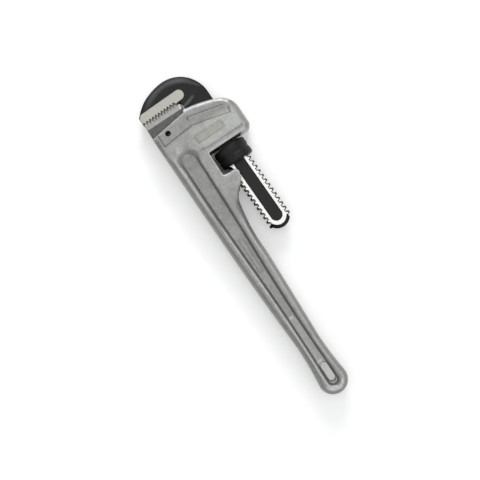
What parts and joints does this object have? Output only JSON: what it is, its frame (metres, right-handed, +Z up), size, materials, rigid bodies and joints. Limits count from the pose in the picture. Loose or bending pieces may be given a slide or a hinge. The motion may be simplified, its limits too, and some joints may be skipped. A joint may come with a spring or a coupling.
{
  "type": "pipe wrench",
  "caption": "Adjustable pipe wrench with a light-alloy I-section handle, a fixed toothed heel jaw, a hooked moving jaw on a threaded flat shank and a round adjusting nut.",
  "frame": {"origin": "middle of the bounding box, on the surface that the wrench lies on", "axes": "+X along the handle towards the jaws, +Y across it towards the heel-jaw side, +Z up through the thickness"},
  "size_m": [0.406, 0.1018, 0.042],
  "materials": {
    "cast_alloy": "blasted casting with a thin clear coat",
    "jaw_steel": "hardened steel, as heat treated, with ground bevels",
    "dark_pin_steel": "oiled dark steel",
    "black_forged_steel": "forged and black oxidised, ground bright on its flats",
    "black_nut_steel": "knurled and black oxidised",
    "spring_steel": "blued spring steel"
  },
  "bodies": {
    "housing": {"handle_housing": "cast_alloy", "heel_jaw": "jaw_steel", "heel_jaw_pin": "dark_pin_steel", "spring_pin": "dark_pin_steel", "coil_spring": "spring_steel"},
    "spring_leaf": {"flat_spring": "spring_steel"},
    "nut": {"adjusting_nut": "black_nut_steel"},
    "hook": {"hook_jaw": "black_forged_steel"}
  },
  "joints": [
    {"name": "jaw_rock", "type": "hinge", "parent": "housing", "child": "spring_leaf", "pos_m": [0.1129, -0.03839, 0.021], "axis": [0, 0, 1], "range_deg": [-3, 0], "stiffness_Nm_per_rad": 3, "springref_deg": 3.44, "deforming": ["coil_spring"]},
    {"name": "nut_spin", "type": "hinge", "parent": "spring_leaf", "child": "nut", "pos_m": [0.09134, -0.01694, 0.021], "axis": [-0.9997, -0.0262, 0], "range_deg": [0, 3960]},
    {"name": "jaw_slide", "type": "slide", "parent": "spring_leaf", "child": "hook", "axis": [0.9997, 0.0262, 0], "range_m": [0, 0.06985]}
  ],
  "couplings": [
    {"joint": "nut_spin", "follows": "jaw_slide", "rad_per_m": 989.48}
  ]
}
